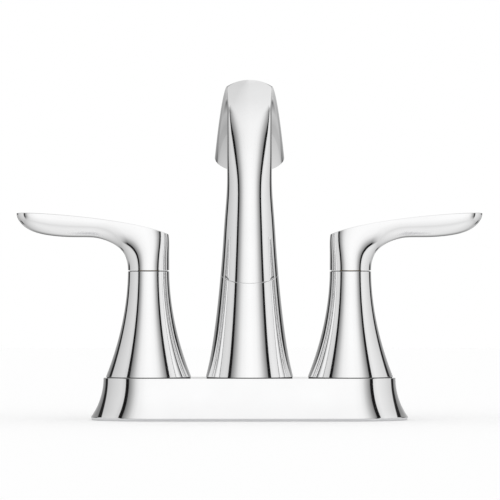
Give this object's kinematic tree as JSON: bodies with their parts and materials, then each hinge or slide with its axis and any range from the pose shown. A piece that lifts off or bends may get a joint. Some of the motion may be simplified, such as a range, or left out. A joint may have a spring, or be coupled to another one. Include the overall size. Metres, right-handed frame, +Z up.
{
  "type": "centerset bathroom faucet",
  "caption": "Centerset bathroom faucet with a flared deck plate, two lever handles on flared hubs and a fixed arched spout.",
  "frame": {"origin": "middle of the deck plate's underside, midway between the two inlet shanks, on the sink deck", "axes": "+Z up, out of the sink deck; -Y towards the user, the way the spout points; +X from the hot handle to the cold one"},
  "size_m": [0.2338, 0.1582, 0.221],
  "materials": {
    "chrome": "polished chrome plate on cast zinc",
    "brass": "machined brass",
    "steel": "plain stainless steel",
    "black_plastic": "moulded black plastic",
    "white_plastic": "extruded water tube",
    "grey_plastic": "moulded grey plastic",
    "ceramic": "lapped alumina ceramic",
    "rubber": "black rubber"
  },
  "bodies": {
    "faucet": {"deck_plate": "chrome", "mounting_plate": "black_plastic", "waterway_body": "brass", "spout_base": "chrome", "spout_base_gasket": "rubber", "spout_base_screws": "steel", "spout": "chrome", "spout_tube": "white_plastic", "spout_tube_o_rings": "rubber", "aerator_washer": "rubber", "aerator_housing": "grey_plastic", "aerator_screen": "grey_plastic", "hot_hub": "chrome", "hot_hub_gasket": "rubber", "hot_valve_locknut": "brass", "hot_bonnet_nut": "brass", "hot_cartridge_sleeve": "brass", "hot_sleeve_o_ring": "rubber", "hot_seat_seal": "rubber", "hot_fixed_disc": "ceramic", "hot_glide_ring": "black_plastic", "hot_mounting_nut": "black_plastic", "cold_hub": "chrome", "cold_hub_gasket": "rubber", "cold_valve_locknut": "brass", "cold_bonnet_nut": "brass", "cold_cartridge_sleeve": "brass", "cold_sleeve_o_ring": "rubber", "cold_seat_seal": "rubber", "cold_fixed_disc": "ceramic", "cold_glide_ring": "black_plastic", "cold_mounting_nut": "black_plastic"},
    "hot_handle": {"hot_handle": "chrome", "hot_stem": "brass", "hot_moving_disc": "ceramic", "hot_stem_o_ring": "rubber", "hot_set_screw": "steel"},
    "cold_handle": {"cold_handle": "chrome", "cold_stem": "brass", "cold_moving_disc": "ceramic", "cold_stem_o_ring": "rubber", "cold_set_screw": "steel"}
  },
  "joints": [
    {"name": "hot_handle_turn", "type": "hinge", "parent": "faucet", "child": "hot_handle", "pos_m": [-0.0508, 0, 0.075], "axis": [0, 0, 1], "range_deg": [0, 90]},
    {"name": "cold_handle_turn", "type": "hinge", "parent": "faucet", "child": "cold_handle", "pos_m": [0.0508, 0, 0.075], "axis": [0, 0, -1], "range_deg": [0, 90]}
  ]
}
